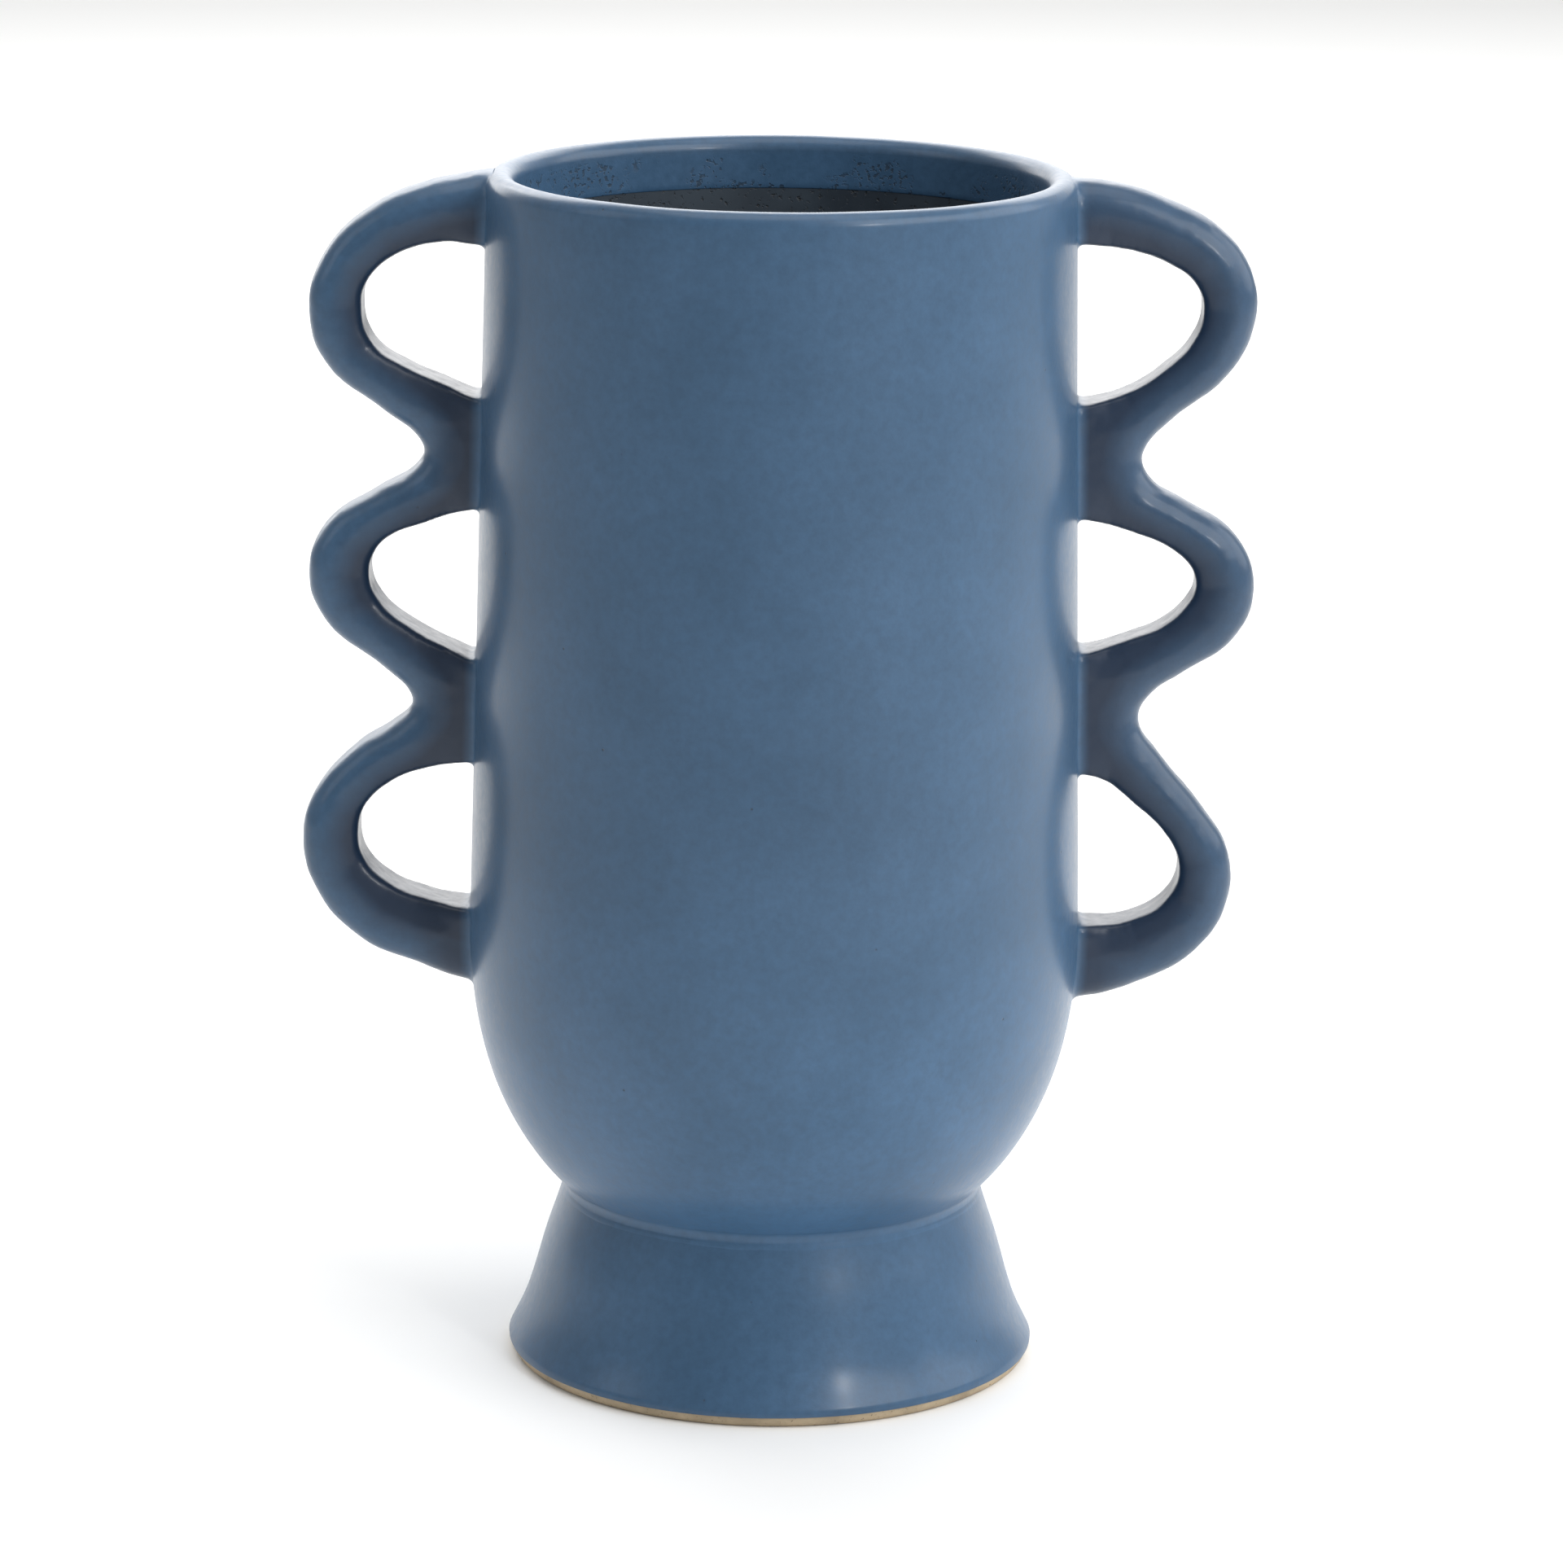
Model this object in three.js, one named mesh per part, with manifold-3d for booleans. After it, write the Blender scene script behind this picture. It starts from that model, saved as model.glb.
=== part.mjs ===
// Footed stoneware vase with two looped strap handles, after an amphora.
// Millimetres, +Z up. The origin is the centre of the foot's underside; the handles stand in the XZ plane.
//
// The vessel, the foot and the two handles are separate clay pieces. Each is luted to the next with
// slip, so a thin pad or ring of slip lies in every joint, a joint gap clear of the clay on each side.
import * as THREE from "three";
import * as BufferGeometryUtils from "three/addons/utils/BufferGeometryUtils.js";
import Module from "manifold-3d";

const wasm = await Module();
wasm.setup();

// ---- driving dimensions ----
const vaseHeight = 280; // floor to the top of the rim

const rimRadius = 67.3; // outer radius of the wall at the rim
const bodyRadius = 71.2; // outer radius where the wall turns into the bowl
const wallThickness = 6.5; // also sets the full round of the rim
const bowlDepth = 79; // from the top of the bowl to the lowest point of its underside
const bowlFullness = 2.3; // exponent of the bowl's curve: 2 is an ellipse, more is squarer
const bowlFloorThickness = 8;

const footHeight = 41.6; // floor to the crease where the foot meets the bowl
const waistRadius = 48.8; // radius of that crease
const footLipRadius = 61.9; // widest part of the foot, just above its lower edge
const footLipHeight = 3.4;
const footFlareRadius = 57.6; // where the straight cone starts to turn out to the lip
const footFlareHeight = 13.5;
const footEdgeRounding = 1.7; // how far the outer lower edge is drawn in at the floor
const footWall = 7;

const handleReach = 39; // how far a loop stands out from the wall
const handleOverlap = 15.3; // how far the lowest root reaches down over the bowl
const handleRounding = 4.5; // radius on the strap's long edges
const roundingLimit = 0.4; // most of the strap's thickness that one rounded edge may take
const handleEmbed = 30; // how far the uncut strap runs on into the vessel

const jointGap = 0.3; // clearance between neighbouring pieces
const slipThickness = 1.2; // slip left in a joint
const slipBead = 1; // how far the slip stands proud round a root and inside the foot
const slipWiped = 0.4; // how far it stands proud at the foot's crease, where it is wiped off
const crossingMargin = 6; // spare height of the blanks that the bowl trims

const turnSegments = 60; // facets round the vessel and the foot
const bowlSteps = 11;
const rimSteps = 6;
const footEdgeSteps = 3;
const footFlareSteps = 4;
const strapSteps = 3; // outline steps between two points of a strap
const strapBevelSteps = 3;

// Outlines of the straps in mm for a loop that reaches outlineReach and hangs outlineDrop:
// [out from the wall, down from the rim]. A handle scales them to its own reach and drop.
const outlineReach = 39;
const outlineDrop = 191;
const outlineThickness = 12; // of the strap in these outlines, inner to outer edge
const straps = [
  {
    side: "left",
    width: 17.5, // across the strap, front to back
    outer: [
      [0, 0.3], [6, 1.4], [12.7, 2.8], [25.8, 8.4], [36.7, 19.7], [39.8, 32], [35.7, 44.6],
      [21.9, 55.5], [14.4, 61.4], [12.9, 64.6], [14.2, 67.9], [23.4, 73.9], [35.3, 82.4],
      [38.9, 93.6], [34.9, 104.7], [20.9, 115.8], [15, 121.4], [14.4, 124.4], [18.2, 128.7],
      [27.2, 134.7], [36.9, 146.1], [39.3, 156], [35.9, 169.2], [25.6, 180.5], [12.9, 186.2],
      [0, 190.5],
    ],
    loops: [
      [[0, 16.7], [9.3, 16], [20.1, 19], [26.3, 25.1], [27.6, 30.7], [25, 39.5], [16.2, 45.3],
        [9.4, 48.2], [0, 51.8]],
      [[0, 77.6], [12.7, 81.2], [20.3, 84.3], [23.4, 87.6], [24.8, 93.4], [22.2, 99.7],
        [15.3, 105.5], [4.3, 111.2], [0, 113.1]],
      [[0, 137.4], [10.5, 139], [18.7, 142.2], [25, 148.5], [26.2, 154], [24.8, 160.7],
        [18.4, 166.9], [11.2, 169.9], [0, 172.2]],
    ],
  },
  {
    side: "right",
    width: 15.5,
    outer: [
      [0, 0.7], [9, 1.5], [20, 4.9], [33, 12], [40.2, 22.9], [40.3, 34.2], [34.4, 45.2],
      [20.8, 56.4], [15.4, 62.6], [14.9, 65.6], [17, 70], [24.4, 74.7], [36.5, 83], [40.7, 95],
      [36, 107], [24, 115.2], [17.2, 119.9], [14, 126.2], [19.2, 135.3], [28.5, 146.9],
      [35, 158.2], [34.7, 170.1], [27.6, 181.5], [16, 188.9], [0, 193.5],
    ],
    loops: [
      [[0, 15.1], [14.4, 17], [21.6, 19.8], [26.6, 23.8], [28.6, 29.5], [26.2, 37.3],
        [20.2, 43.4], [10.8, 49.3], [0, 52]],
      [[0, 78.6], [14.3, 82.3], [21, 85.2], [26, 89.8], [27.1, 94], [25.6, 97.8], [19.5, 103.6],
        [12.3, 106.6], [0, 110.2]],
      [[0, 138.8], [5.9, 140.4], [13.3, 146.3], [19.4, 152.2], [23.3, 160], [21.4, 167.6],
        [12, 173.9], [0, 175]],
    ],
  },
];

// ---- values that follow ----
const waistShare = (1 - (waistRadius / bodyRadius) ** bowlFullness) ** (1 / bowlFullness);
const bowlTop = footHeight + bowlDepth * waistShare;
const rimRound = wallThickness / 2;
const wallTop = vaseHeight - rimRound; // where the outside wall turns into the rim's round
const wallTaper = (bodyRadius - rimRadius) / (wallTop - bowlTop);
const jointThickness = jointGap + slipThickness + jointGap; // clay to clay
const handleDrop = vaseHeight - bowlTop + handleOverlap;
const strapThickness = outlineThickness * Math.min(handleReach / outlineReach, handleDrop / outlineDrop);
const strapRounding = Math.min(handleRounding, strapThickness * roundingLimit);

// ---- finishes ----
const glaze = { color: 0x4a6685, roughness: 0.45, metalness: 0 };
const slipGlaze = { color: 0x46607d, roughness: 0.5, metalness: 0 };

// ---- solids ----
function toSolid(geometry) {
  const bare = geometry.clone();
  bare.deleteAttribute("normal");
  bare.deleteAttribute("uv");
  const merged = BufferGeometryUtils.mergeVertices(bare, 1e-4);
  return new wasm.Manifold(new wasm.Mesh({
    numProp: 3,
    vertProperties: Float32Array.from(merged.attributes.position.array),
    triVerts: Uint32Array.from(merged.index.array),
  }));
}

function toMesh(name, solid, finish) {
  const cut = solid.getMesh();
  const geometry = new THREE.BufferGeometry();
  geometry.setAttribute("position", new THREE.BufferAttribute(cut.vertProperties, 3));
  geometry.setIndex(new THREE.BufferAttribute(cut.triVerts, 1));
  geometry.computeVertexNormals();
  const mesh = new THREE.Mesh(geometry, new THREE.MeshStandardMaterial(finish));
  mesh.name = name;
  return mesh;
}

// A profile of [radius, height] pairs, listed counter-clockwise, turned about the Z axis.
function turned(profile) {
  const points = profile.map(([radius, height]) => new THREE.Vector2(radius, height));
  return new THREE.LatheGeometry(points, turnSegments).rotateX(Math.PI / 2);
}

function ring(profile) {
  return toSolid(turned([...profile, profile[0]]));
}

// ---- vessel ----
function wallRadius(height) {
  if (height >= bowlTop) {
    return rimRadius + wallTaper * (wallTop - height);
  }
  const share = Math.min((bowlTop - height) / bowlDepth, 1);
  return bodyRadius * (1 - share ** bowlFullness) ** (1 / bowlFullness);
}

// The bowl's curve from its lowest point, on the axis, up to where the straight wall starts.
function bowlCurve(radius, depth) {
  const points = [];
  for (let step = 0; step <= bowlSteps; step += 1) {
    const angle = (step / bowlSteps) * (Math.PI / 2);
    const across = Math.sin(angle) ** (2 / bowlFullness);
    const down = Math.cos(angle) ** (2 / bowlFullness);
    points.push([radius * across, bowlTop - depth * (step === bowlSteps ? 0 : down)]);
  }
  return points;
}

function rimCurve() {
  const centre = rimRadius - rimRound;
  const points = [];
  for (let step = 0; step <= rimSteps; step += 1) {
    const angle = (step / rimSteps) * Math.PI;
    points.push([centre + rimRound * Math.cos(angle), wallTop + rimRound * Math.sin(angle)]);
  }
  return points;
}

function vesselBody() {
  const inside = bowlCurve(bodyRadius - wallThickness, bowlDepth - bowlFloorThickness).reverse();
  return toSolid(turned([...bowlCurve(bodyRadius, bowlDepth), ...rimCurve(), ...inside]));
}

// The vessel's outside as a full solid, grown by a distance.
function vesselBlank(grow) {
  const blankTop = vaseHeight + crossingMargin;
  return toSolid(turned([
    ...bowlCurve(bodyRadius + grow, bowlDepth + grow),
    [wallRadius(blankTop) + grow, blankTop],
    [0, blankTop],
  ]));
}

const slipInner = vesselBlank(jointGap);
const slipOuter = vesselBlank(jointGap + slipThickness);
const jointFace = vesselBlank(jointThickness);

// ---- foot ----
// The point at a given height on the line through two [radius, height] points.
function runOn([startRadius, startHeight], [endRadius, endHeight], height) {
  const share = (height - startHeight) / (endHeight - startHeight);
  return [startRadius + (endRadius - startRadius) * share, height];
}

// The outside of the foot from the floor up: a rounded edge, the widest lip, and the turn into the cone.
function footLipCurve(waist, flare) {
  const points = [];
  for (let step = 0; step < footEdgeSteps; step += 1) {
    const angle = (step / footEdgeSteps) * (Math.PI / 2);
    const drawnIn = footEdgeRounding * (1 - Math.sin(angle));
    points.push([footLipRadius - drawnIn, footLipHeight * (1 - Math.cos(angle))]);
  }
  const middle = runOn(waist, flare, (footFlareHeight + footLipHeight) / 2);
  const turn = new THREE.QuadraticBezierCurve(
    new THREE.Vector2(footLipRadius, footLipHeight),
    new THREE.Vector2(...middle),
    new THREE.Vector2(...flare),
  );
  return [...points, ...turn.getPoints(footFlareSteps).map((point) => [point.x, point.y])];
}

function foot() {
  const blankTop = footHeight + crossingMargin;
  const waist = [waistRadius, footHeight];
  const flare = [footFlareRadius, footFlareHeight];
  const innerWaist = [waistRadius - footWall, footHeight];
  const innerFlare = [footFlareRadius - footWall, footFlareHeight];
  return ring([
    [footLipRadius - footEdgeRounding - footWall, 0],
    ...footLipCurve(waist, flare),
    runOn(flare, waist, blankTop),
    runOn(innerFlare, innerWaist, blankTop),
    innerFlare,
  ]).subtract(jointFace);
}

// Slip between the foot's upper edge and the bowl, wiped nearly flush outside and left proud inside.
function footSlip() {
  const inner = waistRadius - footWall - slipBead;
  const outer = waistRadius + slipWiped;
  const band = ring([[inner, 0], [outer, 0], [outer, bowlTop], [inner, bowlTop]]);
  return band.intersect(slipOuter).subtract(slipInner);
}

// ---- handles ----
// Outline points [out, down] set out from the wall, at x to the right of the axis.
function place(points) {
  return points.map(([out, down]) => {
    const height = vaseHeight - (down * handleDrop) / outlineDrop;
    return new THREE.Vector3(wallRadius(height) + (out * handleReach) / outlineReach, height, 0);
  });
}

function smooth(points) {
  const curve = new THREE.CatmullRomCurve3(place(points), false, "centripetal");
  const steps = (points.length - 1) * strapSteps;
  return curve.getPoints(steps).map((point) => new THREE.Vector2(point.x, point.y));
}

function inwards(point) {
  return new THREE.Vector2(point.x - handleEmbed, point.y);
}

// The strap's outer edge, then each loop from the lowest up, all run on into the vessel.
function strapOutline(strap) {
  const outer = smooth(strap.outer);
  const outline = [inwards(outer[0]), ...outer, inwards(outer.at(-1))];
  for (const points of [...strap.loops].reverse()) {
    const loop = smooth(points).reverse();
    outline.push(inwards(loop[0]), ...loop, inwards(loop.at(-1)));
  }
  return new THREE.Shape(outline);
}

function strapBlank(strap, grow) {
  const depth = strap.width - 2 * strapRounding + 2 * grow;
  const geometry = new THREE.ExtrudeGeometry(strapOutline(strap), {
    depth,
    bevelThickness: strapRounding,
    bevelSize: strapRounding,
    bevelOffset: grow - strapRounding,
    bevelSegments: strapBevelSteps,
  });
  geometry.translate(0, 0, -depth / 2).rotateX(Math.PI / 2);
  if (strap.side === "left") {
    geometry.rotateZ(Math.PI);
  }
  return toSolid(geometry);
}

// Heights that part the four roots of a strap: the rim, the middle of each loop, and the floor.
function rootLimits(strap) {
  const middles = strap.loops.map((loop) => {
    const [upper, lower] = [loop[0], loop.at(-1)];
    return place([[0, (upper[1] + lower[1]) / 2]])[0].y;
  });
  return [vaseHeight, ...middles, 0];
}

function rootSlips(strap) {
  const blank = strapBlank(strap, slipBead).intersect(slipOuter).subtract(slipInner);
  const limits = rootLimits(strap);
  const reach = bodyRadius + handleReach;
  return limits.slice(1).map((lower, index) => {
    const upper = limits[index];
    const slab = ring([[wallThickness, lower], [reach, lower], [reach, upper], [wallThickness, upper]]);
    return blank.intersect(slab);
  });
}

// ---- assembly ----
const vase = new THREE.Group();
vase.add(toMesh("vessel_body", vesselBody(), glaze));
vase.add(toMesh("foot", foot(), glaze));
vase.add(toMesh("foot_slip_ring", footSlip(), slipGlaze));
for (const strap of straps) {
  vase.add(toMesh(`handle_${strap.side}`, strapBlank(strap, 0).subtract(jointFace), glaze));
  rootSlips(strap).forEach((slip, index) => {
    vase.add(toMesh(`slip_${strap.side}_root_${index + 1}`, slip, slipGlaze));
  });
}

export default vase;
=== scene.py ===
# Footed stoneware vase with two looped strap handles, dipped in a satin slate-blue glaze.
# The dictionaries hold millimetres, degrees and watts; what is built is in metres, in the packed
# model's frame.
import math

import bpy
from mathutils import Matrix, Vector
from mathutils.kdtree import KDTree


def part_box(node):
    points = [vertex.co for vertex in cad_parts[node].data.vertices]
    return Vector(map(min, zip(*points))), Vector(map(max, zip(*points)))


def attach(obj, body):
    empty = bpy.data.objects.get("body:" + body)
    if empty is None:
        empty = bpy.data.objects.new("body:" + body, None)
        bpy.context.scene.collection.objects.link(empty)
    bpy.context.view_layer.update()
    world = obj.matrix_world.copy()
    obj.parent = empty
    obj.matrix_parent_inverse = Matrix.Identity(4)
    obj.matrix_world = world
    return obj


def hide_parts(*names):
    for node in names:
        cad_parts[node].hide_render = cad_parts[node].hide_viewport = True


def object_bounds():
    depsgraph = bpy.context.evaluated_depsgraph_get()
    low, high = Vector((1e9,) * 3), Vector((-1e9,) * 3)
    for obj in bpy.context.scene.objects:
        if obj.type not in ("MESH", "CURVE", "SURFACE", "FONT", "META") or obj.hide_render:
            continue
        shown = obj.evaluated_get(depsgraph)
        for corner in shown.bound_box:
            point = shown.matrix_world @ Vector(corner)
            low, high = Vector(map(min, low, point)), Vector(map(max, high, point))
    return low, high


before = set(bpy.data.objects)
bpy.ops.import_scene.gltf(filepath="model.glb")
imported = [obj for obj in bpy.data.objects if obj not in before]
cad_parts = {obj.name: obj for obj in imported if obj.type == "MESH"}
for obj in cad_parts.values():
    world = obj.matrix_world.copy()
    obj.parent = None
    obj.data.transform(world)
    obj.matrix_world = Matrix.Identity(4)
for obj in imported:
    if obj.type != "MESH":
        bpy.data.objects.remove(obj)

cadLow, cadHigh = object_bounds()


def mm(value):
    return value * 0.001


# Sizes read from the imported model.
bodyLow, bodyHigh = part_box("vessel_body")
footLow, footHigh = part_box("foot")
vaseTop = bodyHigh[2]
bowlBottom = bodyLow[2]
bodyRadius = (bodyHigh[0] - bodyLow[0]) / 2
lipRadius = (footHigh[0] - footLow[0]) / 2
print("frame loaded")


# The camera stands in front and a little above, with a long lens.
view = {
    "place": (1.4, -1361.4, 467.8),
    "down": 13.67,           # pitch below the horizon
    "roll": 0.63,
    "lens": 137.94,
    "sensor": 36,
}


def makeCamera():
    bpy.ops.object.camera_add(location=[mm(value) for value in view["place"]])
    camera = bpy.context.active_object
    camera.name = "camera"
    camera.data.lens = view["lens"]
    camera.data.sensor_width = view["sensor"]
    pitch = Matrix.Rotation(math.radians(90 - view["down"]), 3, "X")
    roll = Matrix.Rotation(math.radians(view["roll"]), 3, "Z")
    camera.rotation_euler = (pitch @ roll).to_euler()
    bpy.context.scene.camera = camera


# Turns an sRGB hex colour to the linear one that a shader takes.
def linear(hexColour):
    channels = [int(hexColour[start:start + 2], 16) / 255 for start in (1, 3, 5)]
    flat = [value / 12.92 if value <= 0.04045 else ((value + 0.055) / 1.055) ** 2.4 for value in channels]
    return (*flat, 1)


def addNode(tree, kind, settings=None, inputs=None):
    made = tree.nodes.new(kind)
    for key, value in (settings or {}).items():
        setattr(made, key, value)
    for key, value in (inputs or {}).items():
        if isinstance(value, bpy.types.NodeSocket):
            tree.links.new(value, made.inputs[key])
        else:
            made.inputs[key].default_value = value
    return made


def newMaterial(name):
    material = bpy.data.materials.new(name)
    material.use_nodes = True
    material.node_tree.nodes.clear()
    return material, material.node_tree


# Noise textures keep mostly between the first two values; the second two draw clearer patches.
softNoise = (0.3, 0.7)
patchyNoise = (0.35, 0.65)


# Reduction stoneware glaze: satin, a little cloudy, with fine pinholes and an eggshell surface.
satinGlaze = {
    "deep": "#314F6B",
    "pale": "#395876",
    "speck": "#2A3744",
    # colour of the painted shade on the straps, partly pooled glaze
    "poolAndShade": "#172A41",
    "paintedLight": 1.34,         # how much paler the glaze is painted where light is meant to fall brighter: painted light
    "cloud": 30,             # size of the cloudy patches
    "mottle": 2.2,
    "mottleTone": (0.9, 1.1),
    "pinholeEvery": 11,
    "pinholeSize": 0.45,
    "ripple": 10,            # low waves left by the fingers
    "rippleDepth": 0.15,
    "pittedEvery": 1.1,      # crowded pits where the glaze lay thin, inside the rim
    "pittedPatch": 10,
    "pitFrom": (0.54, 0.62),  # noise values at which a pit and a patch of pits begin
    "patchFrom": (0.47, 0.56),
    "pitDepth": 0.15,
    "eggshell": 1.1,         # drawn coarser than the real 0.3 so that it shows
    "eggshellDepth": 0.04,
    "roughness": (0.42, 0.55),
    "ior": 1.5,
    "specular": 0.3,         # the body under the coat is duller than bare glass
    "coat": 0.6,             # the coat carries the soft shine
    "coatRoughness": 0.23,
    "coatIor": 1.4,
}


def makeGlaze():
    material, tree = newMaterial("satin_blue_stoneware_glaze")
    glaze = satinGlaze
    place = addNode(tree, "ShaderNodeTexCoord").outputs["Object"]
    cloud = addNode(tree, "ShaderNodeTexNoise", inputs={
        "Vector": place, "Scale": 1 / mm(glaze["cloud"]), "Detail": 3, "Roughness": 0.55})
    cloudRange = addNode(tree, "ShaderNodeMapRange", inputs={
        "Value": cloud.outputs["Fac"], "From Min": softNoise[0], "From Max": softNoise[1]})
    base = addNode(tree, "ShaderNodeMix", {"data_type": "RGBA"}, {
        0: cloudRange.outputs["Result"], 6: linear(glaze["deep"]), 7: linear(glaze["pale"])})
    mottle = addNode(tree, "ShaderNodeTexNoise", inputs={
        "Vector": place, "Scale": 1 / mm(glaze["mottle"]), "Detail": 4, "Roughness": 0.6})
    mottleRange = addNode(tree, "ShaderNodeMapRange", inputs={
        "Value": mottle.outputs["Fac"], "From Min": softNoise[0], "From Max": softNoise[1],
        "To Min": glaze["mottleTone"][0], "To Max": glaze["mottleTone"][1]})
    mottled = addNode(tree, "ShaderNodeVectorMath", {"operation": "SCALE"}, {
        0: base.outputs[2], "Scale": mottleRange.outputs["Result"]})
    cell = addNode(tree, "ShaderNodeTexVoronoi", inputs={
        "Vector": place, "Scale": 1 / mm(glaze["pinholeEvery"])})
    pit = addNode(tree, "ShaderNodeMapRange", {"interpolation_type": "SMOOTHSTEP"}, {
        "Value": cell.outputs["Distance"], "From Min": 0,
        "From Max": glaze["pinholeSize"] / glaze["pinholeEvery"], "To Min": 1, "To Max": 0})
    thin = addNode(tree, "ShaderNodeAttribute", {"attribute_name": "thin"})
    patches = addNode(tree, "ShaderNodeTexNoise", inputs={
        "Vector": place, "Scale": 1 / mm(glaze["pittedPatch"]), "Detail": 2})
    crowded = addNode(tree, "ShaderNodeMapRange", inputs={
        "Value": patches.outputs["Fac"], "From Min": glaze["patchFrom"][0],
        "From Max": glaze["patchFrom"][1]})
    fine = addNode(tree, "ShaderNodeTexNoise", inputs={
        "Vector": place, "Scale": 1 / mm(glaze["pittedEvery"]), "Detail": 2, "Roughness": 0.6})
    deepest = addNode(tree, "ShaderNodeMapRange", inputs={
        "Value": fine.outputs["Fac"], "From Min": glaze["pitFrom"][0], "From Max": glaze["pitFrom"][1]})
    where = addNode(tree, "ShaderNodeMath", {"operation": "MULTIPLY"}, {
        0: thin.outputs["Fac"], 1: crowded.outputs["Result"]})
    pitted = addNode(tree, "ShaderNodeMath", {"operation": "MULTIPLY"}, {
        0: where.outputs["Value"], 1: deepest.outputs["Result"]})
    holes = addNode(tree, "ShaderNodeMath", {"operation": "MAXIMUM"}, {
        0: pit.outputs["Result"], 1: pitted.outputs["Value"]})
    # Painted light: this tone lifts the colour of the lower bowl, the foot, the slip in the crease and the
    # inner face under the rim.
    pale = addNode(tree, "ShaderNodeAttribute", {"attribute_name": "pale"})
    lift = addNode(tree, "ShaderNodeMapRange", inputs={
        "Value": pale.outputs["Fac"], "To Min": 1, "To Max": glaze["paintedLight"]})
    paintedLight = addNode(tree, "ShaderNodeVectorMath", {"operation": "SCALE"}, {
        0: mottled.outputs["Vector"], "Scale": lift.outputs["Result"]})
    speckled = addNode(tree, "ShaderNodeMix", {"data_type": "RGBA"}, {
        0: holes.outputs["Value"], 6: paintedLight.outputs["Vector"], 7: linear(glaze["speck"])})
    # Painted shade, partly pooled glaze: this tone darkens the straps' inner sides, their roots at the wall
    # and the whole right strap.
    poolAndShade = addNode(tree, "ShaderNodeAttribute", {"attribute_name": "poolAndShade"})
    toned = addNode(tree, "ShaderNodeMix", {"data_type": "RGBA"}, {
        0: poolAndShade.outputs["Fac"], 6: speckled.outputs[2], 7: linear(glaze["poolAndShade"])})
    gloss = addNode(tree, "ShaderNodeMapRange", inputs={
        "Value": mottle.outputs["Fac"], "From Min": softNoise[0], "From Max": softNoise[1],
        "To Min": glaze["roughness"][0], "To Max": glaze["roughness"][1]})
    ripple = addNode(tree, "ShaderNodeTexNoise", inputs={
        "Vector": place, "Scale": 1 / mm(glaze["ripple"]), "Detail": 1})
    eggshell = addNode(tree, "ShaderNodeTexNoise", inputs={
        "Vector": place, "Scale": 1 / mm(glaze["eggshell"]), "Detail": 2})
    waves = addNode(tree, "ShaderNodeBump", inputs={
        "Strength": 1, "Distance": mm(glaze["rippleDepth"]), "Height": ripple.outputs["Fac"]})
    grain = addNode(tree, "ShaderNodeBump", inputs={
        "Strength": 1, "Distance": mm(glaze["eggshellDepth"]), "Height": eggshell.outputs["Fac"],
        "Normal": waves.outputs["Normal"]})
    pits = addNode(tree, "ShaderNodeBump", {"invert": True}, {
        "Strength": 1, "Distance": mm(glaze["pitDepth"]), "Height": holes.outputs["Value"],
        "Normal": grain.outputs["Normal"]})
    shader = addNode(tree, "ShaderNodeBsdfPrincipled", inputs={
        "Base Color": toned.outputs[2], "Roughness": gloss.outputs["Result"],
        "Normal": pits.outputs["Normal"], "IOR": glaze["ior"], "Specular IOR Level": glaze["specular"],
        "Coat Weight": glaze["coat"], "Coat Roughness": glaze["coatRoughness"],
        "Coat IOR": glaze["coatIor"]})
    addNode(tree, "ShaderNodeOutputMaterial", inputs={"Surface": shader.outputs["BSDF"]})
    return material


# Unglazed buff stoneware: dry, with grog standing in the surface and iron specks.
buffClay = {
    "base": "#B9A78B",
    "dark": "#9A8B74",
    "speck": "#5A4C3D",
    "patch": 12,
    "grog": 0.8,             # drawn coarser than the real 0.3 so that it shows
    "grogDepth": 0.12,
    "speckFrom": (0.62, 0.7),  # noise values at which an iron speck begins
    "roughness": (0.75, 0.92),
    "ior": 1.5,
}


def makeClay():
    material, tree = newMaterial("bare_buff_stoneware")
    place = addNode(tree, "ShaderNodeTexCoord").outputs["Object"]
    patch = addNode(tree, "ShaderNodeTexNoise", inputs={
        "Vector": place, "Scale": 1 / mm(buffClay["patch"]), "Detail": 5, "Roughness": 0.6})
    patchRange = addNode(tree, "ShaderNodeMapRange", inputs={
        "Value": patch.outputs["Fac"], "From Min": patchyNoise[0], "From Max": patchyNoise[1]})
    base = addNode(tree, "ShaderNodeMix", {"data_type": "RGBA"}, {
        0: patchRange.outputs["Result"], 6: linear(buffClay["base"]), 7: linear(buffClay["dark"])})
    grog = addNode(tree, "ShaderNodeTexNoise", inputs={
        "Vector": place, "Scale": 1 / mm(buffClay["grog"]), "Detail": 3, "Roughness": 0.7})
    iron = addNode(tree, "ShaderNodeMapRange", inputs={
        "Value": grog.outputs["Fac"], "From Min": buffClay["speckFrom"][0],
        "From Max": buffClay["speckFrom"][1]})
    speckled = addNode(tree, "ShaderNodeMix", {"data_type": "RGBA"}, {
        0: iron.outputs["Result"], 6: base.outputs[2], 7: linear(buffClay["speck"])})
    bump = addNode(tree, "ShaderNodeBump", inputs={
        "Strength": 1, "Distance": mm(buffClay["grogDepth"]), "Height": grog.outputs["Fac"]})
    dryness = addNode(tree, "ShaderNodeMapRange", inputs={
        "Value": patch.outputs["Fac"], "From Min": softNoise[0], "From Max": softNoise[1],
        "To Min": buffClay["roughness"][0], "To Max": buffClay["roughness"][1]})
    shader = addNode(tree, "ShaderNodeBsdfPrincipled", inputs={
        "Base Color": speckled.outputs[2], "Roughness": dryness.outputs["Result"],
        "Normal": bump.outputs["Normal"], "IOR": buffClay["ior"]})
    addNode(tree, "ShaderNodeOutputMaterial", inputs={"Surface": shader.outputs["BSDF"]})
    return material


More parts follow.
